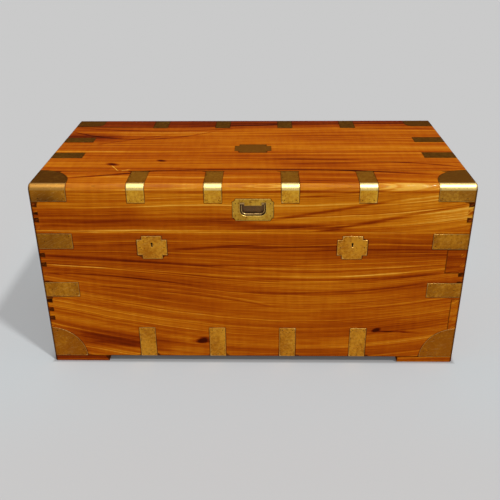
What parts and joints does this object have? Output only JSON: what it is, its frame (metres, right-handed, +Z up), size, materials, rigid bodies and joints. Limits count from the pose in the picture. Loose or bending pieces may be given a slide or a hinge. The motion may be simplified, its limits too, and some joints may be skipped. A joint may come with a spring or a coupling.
{
  "type": "campaign chest",
  "caption": "Brass-bound camphorwood chest with a hinged lid, inlaid corner plates and straps, two locks with stepped escutcheons, and flush bail handles on the front and ends.",
  "frame": {"origin": "on the floor, under the middle of the chest", "axes": "+X along the length to the right as seen from the front, +Y to the back, +Z up"},
  "size_m": [1.04, 0.524, 0.496],
  "materials": {
    "camphorwood": "polished, worn",
    "brass": "old patina, brighter edges",
    "bail_brass": "rubbed bright",
    "steel": "dull"
  },
  "bodies": {
    "carcass": {"front_board": "camphorwood", "back_board": "camphorwood", "left_end_board": "camphorwood", "right_end_board": "camphorwood", "bottom_plank_front": "camphorwood", "bottom_plank_back": "camphorwood", "foot_front_left": "camphorwood", "foot_front_right": "camphorwood", "foot_back_left": "camphorwood", "foot_back_right": "camphorwood", "dust_lip_front": "camphorwood", "dust_lip_left": "camphorwood", "dust_lip_right": "camphorwood", "corner_straps_front_left": "brass", "corner_straps_front_right": "brass", "corner_straps_back_left": "brass", "corner_straps_back_right": "brass", "base_corner_front_left": "brass", "base_corner_front_right": "brass", "base_corner_back_left": "brass", "base_corner_back_right": "brass", "base_straps_front": "brass", "base_straps_back": "brass", "base_straps_ends": "brass", "escutcheon_left": "brass", "escutcheon_right": "brass", "left_handle_plate": "brass", "right_handle_plate": "brass", "hinge_lower_leaves": "brass", "carcass_brass_pins": "brass", "lock_case_left": "steel", "lock_case_right": "steel", "lock_caps": "steel", "hinge_pins": "steel", "carcass_screws": "steel"},
    "lid": {"lid_front_rail": "camphorwood", "lid_back_rail": "camphorwood", "lid_left_rail": "camphorwood", "lid_right_rail": "camphorwood", "lid_top_front_plank": "camphorwood", "lid_top_back_plank": "camphorwood", "lid_corner_front_left": "brass", "lid_corner_front_right": "brass", "lid_corner_back_left": "brass", "lid_corner_back_right": "brass", "lid_straps_front": "brass", "lid_straps_back": "brass", "lid_straps_ends": "brass", "cartouche": "brass", "front_handle_plate": "brass", "hinge_upper_leaves": "brass", "lock_keeper_left": "brass", "lock_keeper_right": "brass", "lid_brass_pins": "brass", "lid_screws": "steel"},
    "front_bail": {"front_handle_bail": "bail_brass"},
    "left_bail": {"left_handle_bail": "bail_brass"},
    "right_bail": {"right_handle_bail": "bail_brass"},
    "left_bolt": {"lock_bolt_left": "steel"},
    "right_bolt": {"lock_bolt_right": "steel"}
  },
  "joints": [
    {"name": "lid_hinge", "type": "hinge", "parent": "carcass", "child": "lid", "pos_m": [0, 0.256, 0.378], "axis": [-1, 0, 0], "range_deg": [0, 100]},
    {"name": "front_bail_swing", "type": "hinge", "parent": "lid", "child": "front_bail", "pos_m": [0.003, -0.258, 0.4482], "axis": [-1, 0, 0], "range_deg": [0, 90]},
    {"name": "left_bail_swing", "type": "hinge", "parent": "carcass", "child": "left_bail", "pos_m": [-0.515, 0, 0.2882], "axis": [0, 1, 0], "range_deg": [0, 90]},
    {"name": "right_bail_swing", "type": "hinge", "parent": "carcass", "child": "right_bail", "pos_m": [0.515, 0, 0.2882], "axis": [0, -1, 0], "range_deg": [0, 90]},
    {"name": "left_bolt_slide", "type": "slide", "parent": "carcass", "child": "left_bolt", "axis": [1, 0, 0], "range_m": [0, 0.008]},
    {"name": "right_bolt_slide", "type": "slide", "parent": "carcass", "child": "right_bolt", "axis": [1, 0, 0], "range_m": [0, 0.008]}
  ]
}
